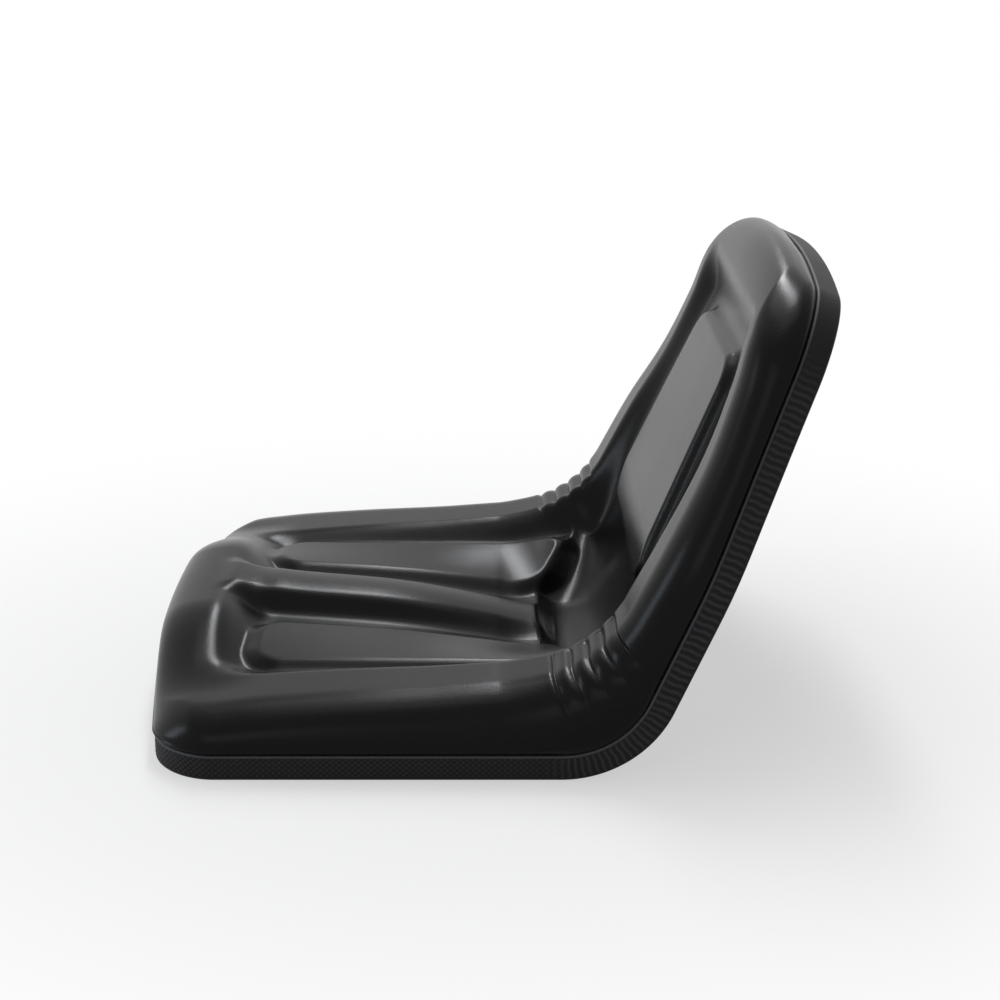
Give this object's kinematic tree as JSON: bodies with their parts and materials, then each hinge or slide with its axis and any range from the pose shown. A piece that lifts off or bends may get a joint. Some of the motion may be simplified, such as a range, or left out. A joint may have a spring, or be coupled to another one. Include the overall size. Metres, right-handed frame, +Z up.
{
  "type": "bucket seat",
  "caption": "Low-back bucket seat for a garden machine: moulded black cushion with leg pads, side bolsters and a back pad on a pressed steel pan with clip-on edge trim.",
  "frame": {"origin": "centre of the plan outline, on the plane of the trim's underside and the mounting channels", "axes": "+X to the sitter's left, the near side in the picture; -Y to the front edge, +Y to the back, +Z up"},
  "size_m": [0.48, 0.4996, 0.3363],
  "materials": {
    "vinyl": "satin black leathercloth with a fine grain",
    "trim": "matt black flexible strip with a raised diamond and rib texture",
    "pan_paint": "black satin paint",
    "zinc": "bright zinc plate"
  },
  "bodies": {
    "root": {"cushion": "vinyl", "edge_trim": "trim", "seat_pan": "pan_paint", "weld_nuts": "zinc"}
  },
  "joints": []
}
